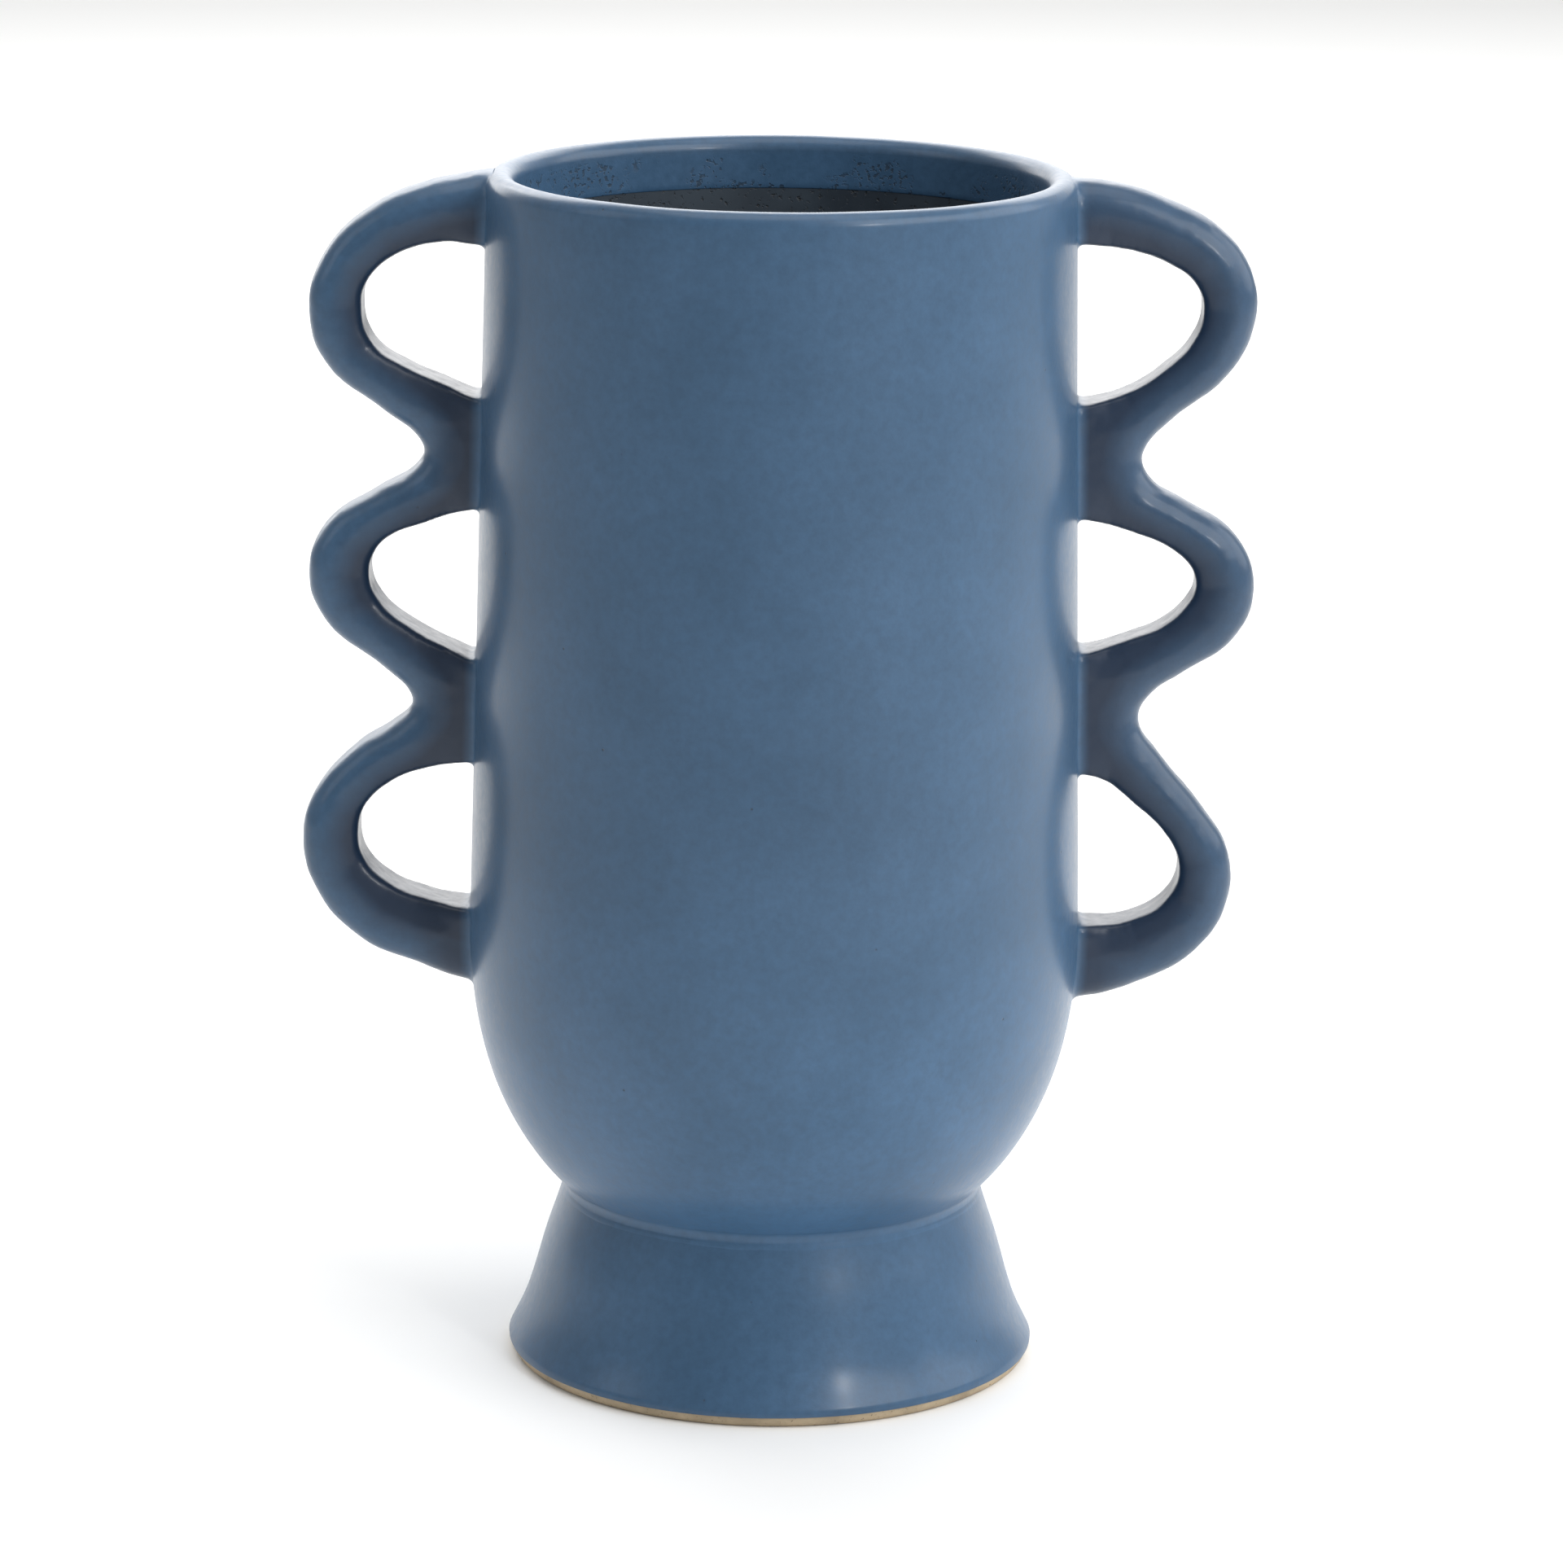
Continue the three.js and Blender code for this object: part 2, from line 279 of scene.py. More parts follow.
# Thin dark liner glaze, poured in and out again: nearly matt, pitted where it lay thin.
linerGlaze = {
    "base": "#232D37",
    "thin": "#2F3B46",
    "pit": "#14181B",
    "patch": 22,
    "pitting": 1.6,
    "pitFrom": (0.58, 0.7),  # noise values at which a pit begins
    "pitDepth": 0.15,
    "roughness": (0.5, 0.65),
    "ior": 1.5,
}


def makeLiner():
    material, tree = newMaterial("dark_liner_glaze")
    place = addNode(tree, "ShaderNodeTexCoord").outputs["Object"]
    patch = addNode(tree, "ShaderNodeTexNoise", inputs={
        "Vector": place, "Scale": 1 / mm(linerGlaze["patch"]), "Detail": 4, "Roughness": 0.6})
    patchRange = addNode(tree, "ShaderNodeMapRange", inputs={
        "Value": patch.outputs["Fac"], "From Min": patchyNoise[0], "From Max": patchyNoise[1]})
    base = addNode(tree, "ShaderNodeMix", {"data_type": "RGBA"}, {
        0: patchRange.outputs["Result"], 6: linear(linerGlaze["base"]), 7: linear(linerGlaze["thin"])})
    pitting = addNode(tree, "ShaderNodeTexNoise", inputs={
        "Vector": place, "Scale": 1 / mm(linerGlaze["pitting"]), "Detail": 3, "Roughness": 0.65})
    pit = addNode(tree, "ShaderNodeMapRange", inputs={
        "Value": pitting.outputs["Fac"], "From Min": linerGlaze["pitFrom"][0],
        "From Max": linerGlaze["pitFrom"][1]})
    pitted = addNode(tree, "ShaderNodeMix", {"data_type": "RGBA"}, {
        0: pit.outputs["Result"], 6: base.outputs[2], 7: linear(linerGlaze["pit"])})
    bump = addNode(tree, "ShaderNodeBump", {"invert": True}, {
        "Strength": 1, "Distance": mm(linerGlaze["pitDepth"]), "Height": pit.outputs["Result"]})
    gloss = addNode(tree, "ShaderNodeMapRange", inputs={
        "Value": patch.outputs["Fac"], "From Min": softNoise[0], "From Max": softNoise[1],
        "To Min": linerGlaze["roughness"][0], "To Max": linerGlaze["roughness"][1]})
    shader = addNode(tree, "ShaderNodeBsdfPrincipled", inputs={
        "Base Color": pitted.outputs[2], "Roughness": gloss.outputs["Result"],
        "Normal": bump.outputs["Normal"], "IOR": linerGlaze["ior"]})
    addNode(tree, "ShaderNodeOutputMaterial", inputs={"Surface": shader.outputs["BSDF"]})
    return material


# Small tools for selecting, editing, finishing and handing over a piece.
def onlySelect(*pieces):
    bpy.ops.object.select_all(action="DESELECT")
    for piece in pieces:
        piece.select_set(True)
    bpy.context.view_layer.objects.active = pieces[0]


def startEdit(piece, select="DESELECT"):
    onlySelect(piece)
    bpy.ops.object.mode_set(mode="EDIT")
    bpy.ops.mesh.select_all(action=select)


def endEdit():
    bpy.ops.object.mode_set(mode="OBJECT")


def settle(piece):
    onlySelect(piece)
    bpy.ops.object.transform_apply(location=True, rotation=True, scale=True)


def withModifier(piece, kind, **settings):
    onlySelect(piece)
    modifier = piece.modifiers.new(kind.title(), kind)
    for key, value in settings.items():
        setattr(modifier, key, value)
    bpy.ops.object.modifier_apply(modifier=modifier.name)


def copyOf(piece, name):
    onlySelect(piece)
    bpy.ops.object.duplicate(linked=False)
    twin = bpy.context.active_object
    twin.name = name
    twin.data.name = name
    return twin


def cutAway(piece, point, normal):
    startEdit(piece, "SELECT")
    bpy.ops.mesh.bisect(plane_co=point, plane_no=normal, use_fill=True, clear_outer=True, threshold=1e-6)
    endEdit()


def smoothShade(piece, degrees=35):
    onlySelect(piece)
    bpy.ops.object.shade_smooth_by_angle(angle=math.radians(degrees))


def handOver(piece, node, finish):
    piece.data.materials.clear()
    piece.data.materials.append(finish)
    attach(piece, "root")
    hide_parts(node)


# Pushes the surface in and out a little, in soft waves of this size.
def unevenness(piece, size, depth):
    cloudy = bpy.data.textures.new("clouds", "CLOUDS")
    cloudy.noise_scale = mm(size)
    withModifier(piece, "DISPLACE", texture=cloudy, texture_coords="LOCAL", strength=mm(depth),
                 mid_level=0.5)


# A round piece drawn up ring by ring, as on a wheel. The profile is [(radius, height)]; it closes
# on itself, or else both its ends are capped where they meet the axis.
wheel = {
    "turns": 192,
    "merge": 0.01,           # points closer than this become one
}


def thrown(name, profile, closed=False):
    radius, height = profile[0]
    bpy.ops.object.select_all(action="DESELECT")
    bpy.ops.mesh.primitive_circle_add(
        vertices=wheel["turns"], radius=radius, fill_type="NOTHING", location=(0, 0, height))
    piece = bpy.context.active_object
    piece.name = name
    piece.data.name = name
    settle(piece)
    startEdit(piece, "SELECT")
    rings = profile[1:] + profile[:1] if closed else profile[1:]
    for nextRadius, nextHeight in rings:
        bpy.ops.mesh.extrude_region_move(TRANSFORM_OT_translate={"value": (0, 0, nextHeight - height)})
        grow = nextRadius / radius
        bpy.ops.transform.resize(value=(grow, grow, 1), center_override=(0, 0, nextHeight))
        radius, height = nextRadius, nextHeight
    bpy.ops.mesh.select_all(action="SELECT")
    bpy.ops.mesh.remove_doubles(threshold=mm(wheel["merge"]))
    if not closed:
        bpy.ops.mesh.select_all(action="DESELECT")
        bpy.ops.mesh.select_non_manifold()
        bpy.ops.mesh.fill_holes(sides=0)
    bpy.ops.mesh.select_all(action="SELECT")
    bpy.ops.mesh.normals_make_consistent(inside=False)
    endEdit()
    return piece


# A straight, slightly tapered wall with a full-round rim, on a rounded bowl.
vessel = {
    "rimRadius": 67.3,
    "wall": 6.5,
    "bowlDepth": 79,
    "bowlFullness": 2.3,     # exponent of the bowl's curve: 2 is an ellipse, more is squarer
    "floor": 8,
    "coat": 0.3,             # how thick a glaze lies on the clay
    "coatRoot": 0.3,         # how far a glaze piece runs on into the clay below it
    "paleFrom": 130,         # heights between which the glaze is painted paler downwards: painted light
    "paleTo": 50,
    "paleInside": 0.4,       # how much painted light lifts it, and how thin it is, on the inner face under the rim
    "thinInside": 0.75,
    "thinFrom": 3.5,         # measured down from the top of the rim
    "thinTo": 5.5,
    "innerFace": 0.7,        # share of the wall's thickness at which that face begins
    "glazeInside": 12,       # how far the blue glaze runs down inside the rim
    "glazeFrom": 47.5,       # radius where the blue glaze starts, under the foot's joint
    "glazeLip": (0.35, 0.8),  # rounds the glaze's lower end inside, in shares of its thickness
    "unevenSize": 26,        # soft waves that throwing and dipping leave
    "unevenDepth": 0.22,
    "rimSteps": 16,
}
wall = mm(vessel["wall"])
bowlTop = bowlBottom + mm(vessel["bowlDepth"])
wallTop = vaseTop - wall / 2


def wallRadius(height):
    if height >= bowlTop:
        share = (height - bowlTop) / (wallTop - bowlTop)
        return bodyRadius + (mm(vessel["rimRadius"]) - bodyRadius) * share
    share = min((bowlTop - height) / mm(vessel["bowlDepth"]), 1)
    fullness = vessel["bowlFullness"]
    return bodyRadius * (1 - share ** fullness) ** (1 / fullness)


# The bowl's curve, from a share of a quarter turn up to where the straight wall starts.
def bowlCurve(radius, depth, start=0.02, steps=28):
    power = 2 / vessel["bowlFullness"]
    points = []
    for step in range(steps + 1):
        angle = (start + (1 - start) * step / steps) * math.pi / 2
        down = math.cos(angle) ** power if step < steps else 0
        points.append((radius * math.sin(angle) ** power, bowlTop - depth * down))
    return points


# Half a turn over the rim, from the outside in.
def rimCurve(sunk=0):
    reach = wall / 2 - sunk
    centre = mm(vessel["rimRadius"]) - wall / 2
    steps = vessel["rimSteps"]
    turns = [math.pi * step / steps for step in range(steps + 1)]
    return [(centre + reach * math.cos(turn), wallTop + reach * math.sin(turn)) for turn in turns]


def run(start, end, steps=12):
    return [(start[0] + (end[0] - start[0]) * step / steps,
             start[1] + (end[1] - start[1]) * step / steps) for step in range(steps + 1)]


def setTone(piece, name, amountAt):
    tone = piece.data.attributes.new(name, "FLOAT", "POINT")
    for vertex in piece.data.vertices:
        tone.data[vertex.index].value = amountAt(*vertex.co)


def ramp(value, start, end):
    return min(max((value - start) / (end - start), 0), 1)


# The glaze lay thin and pitted on the inner face under the rim.
def thinAt(x, y, z):
    if math.hypot(x, y) > wallRadius(min(z, wallTop)) - wall * vessel["innerFace"]:
        return 0
    return vessel["thinInside"] * ramp(vaseTop - z, mm(vessel["thinFrom"]), mm(vessel["thinTo"]))


# Painted light: it is painted paler there, and paler again towards the underside of the bowl.
def paintedLightAt(x, y, z):
    if thinAt(x, y, z) > 0:
        return vessel["paleInside"]
    return ramp(z, mm(vessel["paleFrom"]), mm(vessel["paleTo"]))


def makeVessel(glaze, clay, liner):
    coat = mm(vessel["coat"])
    root = coat + mm(vessel["coatRoot"])
    depth = mm(vessel["bowlDepth"])
    innerRadius = bodyRadius - wall
    innerDepth = depth - mm(vessel["floor"])

    outside = bowlCurve(bodyRadius - coat, depth - coat)
    rim = rimCurve(coat)
    inside = bowlCurve(innerRadius + coat, innerDepth + coat)[::-1]
    profile = outside[:-1] + run(outside[-1], rim[0]) + rim[1:-1] + run(rim[-1], inside[0]) + inside[1:]
    body = thrown("vessel_clay", profile)
    smoothShade(body)
    handOver(body, "vessel_body", clay)

    sine = (mm(vessel["glazeFrom"]) / bodyRadius) ** (vessel["bowlFullness"] / 2)
    startShare = math.asin(sine) * 2 / math.pi
    edge = vaseTop - mm(vessel["glazeInside"])
    inner = wallRadius(edge) - wall
    outside = bowlCurve(bodyRadius, depth, startShare)
    rim = rimCurve()
    skin = outside[:-1] + run(outside[-1], rim[0], steps=16) + rim[1:-1]
    skin += run(rim[-1], (inner, edge), steps=8)
    lipOut, lipDown = vessel["glazeLip"]
    tip = [(inner + coat * lipOut, edge - coat * lipDown), (inner + coat, edge - coat)]
    backRim = rimCurve(root)[::-1]
    backOutside = bowlCurve(bodyRadius - root, depth - root, startShare)[::-1]
    back = [(inner + root, edge), *backRim, *backOutside]
    dip = thrown("vessel_glaze", skin + tip + back, closed=True)
    unevenness(dip, vessel["unevenSize"], vessel["unevenDepth"])
    setTone(dip, "thin", thinAt)
    # painted light: paler downwards, and paler under the rim inside
    setTone(dip, "pale", paintedLightAt)
    smoothShade(dip, degrees=50)
    handOver(dip, "vessel_body", glaze)

    thin = coat / 2          # the liner is half as thick as the blue glaze
    top = (inner + coat - thin, edge + coat)
    lining = bowlCurve(innerRadius + coat - thin, innerDepth + coat - thin)[::-1]
    backLining = bowlCurve(innerRadius + root, innerDepth + root)
    lined = backLining[:-1] + run(backLining[-1], (inner + root, edge + coat))
    lined += run(top, lining[0]) + lining[1:]
    coatInside = thrown("vessel_liner", lined)
    smoothShade(coatInside, degrees=50)
    handOver(coatInside, "vessel_body", liner)


# A hollow flared cone, wiped bare at the floor, with slip worked into the crease above it.
foot = {
    "height": 41.6,
    "waist": 48.8,
    "lipHeight": 3.4,
    "flare": 57.6,
    "flareHeight": 13.5,
    "edge": 1.7,             # how far the lower edge is drawn in at the floor
    "wall": 7,
    "ring": 0.16,            # depth and spacing of the low rings left by the thrower's fingers
    "ringEvery": 24.7,
    "ringFrom": 34,
    "ringRise": 5,           # height over which the rings come in, above the floor
    "ringEnd": (3.5, 10),    # depths below the crease at which they are gone and start to fade
    "unevenSize": 26,
    "unevenDepth": 0.2,
    "innerBevel": (1.1, 1.2),
    "bareEdge": 1.7,         # height of the wiped band at the floor
    "pale": 0.2,             # painted light lifting the glaze on the cone, and a painted highlight on the slip in the crease
    "slipHighlight": 0.6,
    "fillet": 2.8,           # radius of the slip worked into the crease
    "bead": 0.06,            # how far the slip stands proud below that fillet, before it runs out
    "beadLength": 1.6,
    "slipRoot": 2,           # how far the worked slip runs on into the clay, and rises on its way in
    "slipRise": 0.2,
    "slipTop": 0.6,          # depths below the crease between which the joint's slip lies
    "slipLow": 1.8,
    "slipInside": 1,         # how far it squeezed out inside the foot
}


def fingerRing(height):
    gone, fading = (mm(foot["height"] - depth) for depth in foot["ringEnd"])
    fade = ramp(height, 0, mm(foot["ringRise"])) * ramp(height, gone, fading)
    turn = 2 * math.pi * (height - mm(foot["ringFrom"])) / mm(foot["ringEvery"])
    return mm(foot["ring"]) * math.sin(turn) * fade


def footOutside(sunk=0):
    lip = lipRadius - sunk
    waist = mm(foot["waist"]) - sunk
    flare = mm(foot["flare"]) - sunk
    low, high = mm(foot["lipHeight"]), mm(foot["flareHeight"])
    top = mm(foot["height"])
    lipSteps, flareSteps = 6, 10
    points = []
    for step in range(lipSteps):
        turn = step / lipSteps * math.pi / 2
        points.append((lip - mm(foot["edge"]) * (1 - math.sin(turn)), low * (1 - math.cos(turn))))
    middleHeight = (low + high) / 2
    middle = (waist + (flare - waist) * (top - middleHeight) / (top - high), middleHeight)
    for step in range(flareSteps + 1):
        share = step / flareSteps
        weights = ((1 - share) ** 2, 2 * share * (1 - share), share ** 2)
        points.append((weights[0] * lip + weights[1] * middle[0] + weights[2] * flare,
                       weights[0] * low + weights[1] * middle[1] + weights[2] * high))
    points += run((flare, high), (waist, top), steps=10)[1:]
    return [(radius - fingerRing(height), height) for radius, height in points]


# The outside of the slip in the crease, from the foot up to the bowl: a low bead and a hollow curve
# that touches both.
def creaseFillet():
    waist = Vector((mm(foot["waist"]), mm(foot["height"])))
    flare = Vector((mm(foot["flare"]), mm(foot["flareHeight"])))
    probe = mm(1)            # the bowl's slope is read this far above the waist
    above = waist.y + probe
    down = (flare - waist).normalized()
    up = (Vector((wallRadius(above), above)) - waist).normalized()
    half = down.angle(up) / 2
    reach = mm(foot["fillet"]) / math.tan(half)
    start, end = waist + down * reach, waist + up * reach
    centre = waist + (down + up).normalized() * mm(foot["fillet"]) / math.sin(half)
    outwards = Vector((-down.y, down.x))
    points = []
    for share, swell in ((1, -1), (0.5, 1)):
        points.append(start + down * mm(foot["beadLength"]) * share + outwards * mm(foot["bead"]) * swell)
    steps = 8
    for step in range(steps + 1):
        arm = (start - centre).lerp(end - centre, step / steps).normalized()
        points.append(centre + arm * mm(foot["fillet"]))
    return [(point.x, point.y) for point in points]


def makeFoot(glaze, clay):
    coat = mm(vessel["coat"])
    top = mm(foot["height"])
    footWall = mm(foot["wall"])
    outside = footOutside(coat)
    innerFlare = (mm(foot["flare"]) - footWall, mm(foot["flareHeight"]))
    innerWaist = (mm(foot["waist"]) - footWall, top)
    innerEdge = lipRadius - mm(foot["edge"]) - footWall
    bevelOut, bevelUp = (mm(size) for size in foot["innerBevel"])
    profile = outside + [innerWaist] + run(innerWaist, innerFlare, steps=6)[1:]
    profile += run(innerFlare, (innerEdge, bevelUp), steps=4)[1:] + [(innerEdge + bevelOut, 0)]
    ring = thrown("foot_clay", profile, closed=True)
    smoothShade(ring)
    handOver(ring, "foot", clay)

    skin = [point for point in footOutside() if point[1] > mm(foot["bareEdge"])]
    back = [point for point in footOutside(coat * 2) if point[1] > mm(foot["bareEdge"])][::-1]
    dip = thrown("foot_glaze", skin + back, closed=True)
    # painted light: the cone's glaze is painted a little paler all over
    setTone(dip, "pale", lambda x, y, z: foot["pale"])
    unevenness(dip, foot["unevenSize"], foot["unevenDepth"])
    smoothShade(dip, degrees=50)
    handOver(dip, "foot", glaze)

    profile = creaseFillet()
    inner = mm(foot["waist"] - foot["wall"] - foot["slipInside"])
    root, under = mm(foot["slipRoot"]), mm(foot["slipTop"])
    lowest, highest = profile[0], profile[-1]
    profile += [(highest[0] - root, highest[1] - under), (inner, top - under),
                (inner, top - mm(foot["slipLow"])), (lowest[0] - root, lowest[1] + mm(foot["slipRise"]))]
    slip = thrown("foot_slip", profile, closed=True)
    # painted highlight: the slip in the crease is painted paler, as a lit ridge
    setTone(slip, "pale", lambda x, y, z: foot["slipHighlight"])
    smoothShade(slip, degrees=60)
    handOver(slip, "foot_slip_ring", glaze)


# What both straps share.
strapShape = {
    "embed": 3.5,            # how far the strap runs into the wall
    "curveSteps": 6,         # between two points of an outline
    "outerRound": 6.2,       # the long edges that a hand meets are rubbed round
    "innerRound": 1.6,
    "leanDepth": 1.7,        # the strap is this much thinner, each side, at the edge of a loop
    "leanWidth": 7.5,
    "leanCurve": 1.5,
    "leanGap": (2, 7),       # distances from the wall between which that thinning comes in
    "poolAndShade": 1,             # how much the glaze is painted darker, as pooled glaze and painted shade
    "poolShadeFrom": 3,         # measured in from the strap's outer edge
    "poolShadeTo": 10,
    "poolShadeCurve": 1.2,
    "poolShadeRoot": 0.85,      # how much painted shade darkens it towards the wall, below these depths under the rim
    "poolShadeBelow": (25, 45),
    "rootGap": (14, 5),      # distances from the wall between which that comes in
    "cleanGap": (0.1, 2.4),  # and between which it fades again, where the slip meets the wall
    "voxel": 0.6,
    "rounding": 5,           # smoothing passes over the strap, and over the slip at the wall
    "slipRounding": 22,
    "slipGap": (5.5, 1.5),   # distances from the wall between which the slip is smoothed
    "bends": ((13, 0.35), (3.2, 0.14)),  # size and depth of the unevenness left by the hand
    "patchSunk": 0.15,
    "patchMargin": 7,        # how far the strip of wall runs past the strap, and where it is cut off
    "patchFrom": 40,
    "filletReach": 2.6,      # how far out from the wall the slip is worked
    "slipSpread": 4,         # how far it spreads over the wall beside a root
    "slipSunk": 1.6,         # how deep a slip piece reaches into the wall
}
# Outlines are [(out from the wall, down from the rim)]: the long edge that a hand meets, then the loops.
straps = {
    "left": {
        "width": 17.5,
        "poolAndShade": 0.03,          # how much darker the glaze is painted all over the strap: painted shade
        "outer": [
            (0, 0.3), (6, 1.4), (12.7, 2.8), (25.8, 8.4), (36.7, 19.7), (39.8, 32), (35.7, 44.6),
            (21.9, 55.5), (14.4, 61.4), (12.9, 64.6), (14.2, 67.9), (23.4, 73.9), (35.3, 82.4),
            (38.9, 93.6), (34.9, 104.7), (20.9, 115.8), (15, 121.4), (14.4, 124.4), (18.2, 128.7),
            (27.2, 134.7), (36.9, 146.1), (39.3, 156), (35.9, 169.2), (25.6, 180.5), (12.9, 186.2),
            (0, 190.5),
        ],
        "loops": [
            [(0, 16.7), (9.3, 16), (20.1, 19), (26.3, 25.1), (27.6, 30.7), (25, 39.5), (16.2, 45.3),
             (9.4, 48.2), (0, 51.8)],
            [(0, 77.6), (12.7, 81.2), (20.3, 84.3), (23.4, 87.6), (24.8, 93.4), (22.2, 99.7),
             (15.3, 105.5), (4.3, 111.2), (0, 113.1)],
            [(0, 137.4), (10.5, 139), (18.7, 142.2), (25, 148.5), (26.2, 154), (24.8, 160.7),
             (18.4, 166.9), (11.2, 169.9), (0, 172.2)],
        ],
    },
    "right": {
        "width": 15.5,
        # painted shade: the whole right strap is painted much darker, standing in for light it does not get
        "poolAndShade": 0.38,
        "outer": [
            (0, 0.7), (9, 1.5), (20, 4.9), (33, 12), (40.2, 22.9), (40.3, 34.2), (34.4, 45.2),
            (20.8, 56.4), (15.4, 62.6), (14.9, 65.6), (17, 70), (24.4, 74.7), (36.5, 83), (40.7, 95),
            (36, 107), (24, 115.2), (17.2, 119.9), (14, 126.2), (19.2, 135.3), (28.5, 146.9),
            (35, 158.2), (34.7, 170.1), (27.6, 181.5), (16, 188.9), (0, 193.5),
        ],
        "loops": [
            [(0, 15.1), (14.4, 17), (21.6, 19.8), (26.6, 23.8), (28.6, 29.5), (26.2, 37.3),
             (20.2, 43.4), (10.8, 49.3), (0, 52)],
            [(0, 78.6), (14.3, 82.3), (21, 85.2), (26, 89.8), (27.1, 94), (25.6, 97.8), (19.5, 103.6),
             (12.3, 106.6), (0, 110.2)],
            [(0, 138.8), (5.9, 140.4), (13.3, 146.3), (19.4, 152.2), (23.3, 160), (21.4, 167.6),
             (12, 173.9), (0, 175)],
        ],
    },
}


def placed(out, down):
    height = vaseTop - mm(down)
    return Vector((wallRadius(height) + mm(out), 0, height))


def strapOutline(strap):
    embed = Vector((mm(strapShape["embed"]), 0, 0))
    points = []
    for edge in [strap["outer"]] + [loop[::-1] for loop in strap["loops"][::-1]]:
        route = [placed(*pair) for pair in edge]
        points.append((route[0] - embed, "VECTOR"))
        points.extend((point, "AUTO") for point in route)
        points.append((route[-1] - embed, "VECTOR"))
    return points


# The flat outline as a solid of the strap's full width, standing in the XZ plane.
def strapSlab(name, strap):
    points = strapOutline(strap)
    bpy.ops.object.select_all(action="DESELECT")
    bpy.ops.curve.primitive_bezier_curve_add(location=(0, 0, 0))
    curve = bpy.context.active_object
    spline = curve.data.splines[0]
    spline.bezier_points.add(len(points) - 2)
    for knot, (point, kind) in zip(spline.bezier_points, points):
        knot.co = (point.x, point.z, 0)
        knot.handle_left_type = kind
        knot.handle_right_type = kind
    spline.use_cyclic_u = True
    curve.data.dimensions = "2D"
    curve.data.fill_mode = "NONE"
    curve.data.resolution_u = strapShape["curveSteps"]
    curve.data.extrude = mm(strap["width"]) / 2
    curve.rotation_euler = (math.pi / 2, 0, 0)
    bpy.ops.object.convert(target="MESH")
    slab = bpy.context.active_object
    slab.name = name
    slab.data.name = name
    settle(slab)
    startEdit(slab, "SELECT")
    bpy.ops.mesh.remove_doubles(threshold=mm(2 * wheel["merge"]))
    bpy.ops.mesh.select_all(action="DESELECT")
    bpy.ops.mesh.select_non_manifold()
    bpy.ops.mesh.fill_holes(sides=0)
    bpy.ops.mesh.select_all(action="SELECT")
    bpy.ops.mesh.normals_make_consistent(inside=False)
    endEdit()
    return slab


# Finds the nearest edge to a place in the strap's own plane: its number in the list and how far it is.
def edgeFinder(edges, steps):
    routes = [[placed(*pair) for pair in edge] for edge in edges]
    finder = KDTree(steps * sum(len(route) - 1 for route in routes))
    for number, route in enumerate(routes):
        for start, end in zip(route, route[1:]):
            for step in range(steps):
                finder.insert(start.lerp(end, step / steps), number)
    finder.balance()
    return finder


# Bevels the long edges of the slab, either the outer ones or those of the loops.
def roundEdges(slab, strap, finder, outer, radius, segments):
    half = mm(strap["width"]) / 2
    nearly, spare = 1e-5, mm(0.1)
    startEdit(slab)
    bpy.ops.mesh.select_mode(type="EDGE")
    endEdit()
    vertices = slab.data.vertices
    for edge in slab.data.edges:
        first, second = (vertices[index].co for index in edge.vertices)
        onRim = abs(abs(first.y) - half) < nearly and abs(first.y - second.y) < nearly
        middle = (first + second) / 2
        outOfWall = middle.x > wallRadius(middle.z) - mm(strapShape["embed"]) + spare
        nearest = finder.find((middle.x, 0, middle.z))[1]
        edge.select = onRim and outOfWall and (nearest == 0) == outer
    bpy.ops.object.mode_set(mode="EDIT")
    bpy.ops.mesh.bevel(
        offset=mm(radius), segments=segments, profile=0.5, affect="EDGES", clamp_overlap=False)
    bpy.ops.mesh.select_mode(type="VERT")
    endEdit()


# A strip of the wall, just under its surface, for the slip to run out on.
def wallPatch(strap):
    sunk = mm(strapShape["patchSunk"])
    margin = mm(strapShape["patchMargin"])
    low = vaseTop - mm(strap["outer"][-1][1]) - margin
    outerHalf = rimCurve(sunk)[:vessel["rimSteps"] // 2 + 1]
    steps = 30
    face = []
    for step in range(steps + 1):
        height = low + (wallTop - low) * step / steps
        face.append((wallRadius(height) - sunk, height))
    core = mm(vessel["rimRadius"]) - wall / 2
    patch = thrown("patch", face[:-1] + outerHalf + [(core, low)], closed=True)
    half = mm(strap["width"]) / 2 + margin
    cutAway(patch, (0, half, 0), (0, 1, 0))
    cutAway(patch, (0, -half, 0), (0, -1, 0))
    cutAway(patch, (mm(strapShape["patchFrom"]), 0, 0), (-1, 0, 0))
    return patch


# Painted shade, partly pooled glaze: each strap is painted darker all over by its own amount, and more on
# its inner side and towards the wall.
def paintPoolShade(slab, strap):
    finder = edgeFinder([strap["outer"]], steps=8)
    shape = strapShape
    most, least = shape["poolAndShade"], strap["poolAndShade"]

    def poolShadeAt(x, y, z):
        gap = x - wallRadius(min(z, wallTop))
        below = ramp(vaseTop - z, mm(shape["poolShadeBelow"][0]), mm(shape["poolShadeBelow"][1]))
        atRoot = shape["poolShadeRoot"] * ramp(gap, mm(shape["rootGap"][0]), mm(shape["rootGap"][1])) * below
        fromEdge = ramp(finder.find((x, 0, z))[2], mm(shape["poolShadeFrom"]), mm(shape["poolShadeTo"]))
        inwards = max(fromEdge ** shape["poolShadeCurve"], atRoot)
        offWall = ramp(gap, mm(shape["cleanGap"][0]), mm(shape["cleanGap"][1]))
        return offWall * (least + (most - least) * inwards)

    setTone(slab, "poolAndShade", poolShadeAt)


# Gives each point a weight from 0 to 1, which a modifier then follows.
def weighted(slab, name, weightAt):
    group = slab.vertex_groups.new(name=name)
    for vertex in slab.data.vertices:
        weight = weightAt(*vertex.co)
        if weight > 0:
            group.add([vertex.index], weight, "REPLACE")


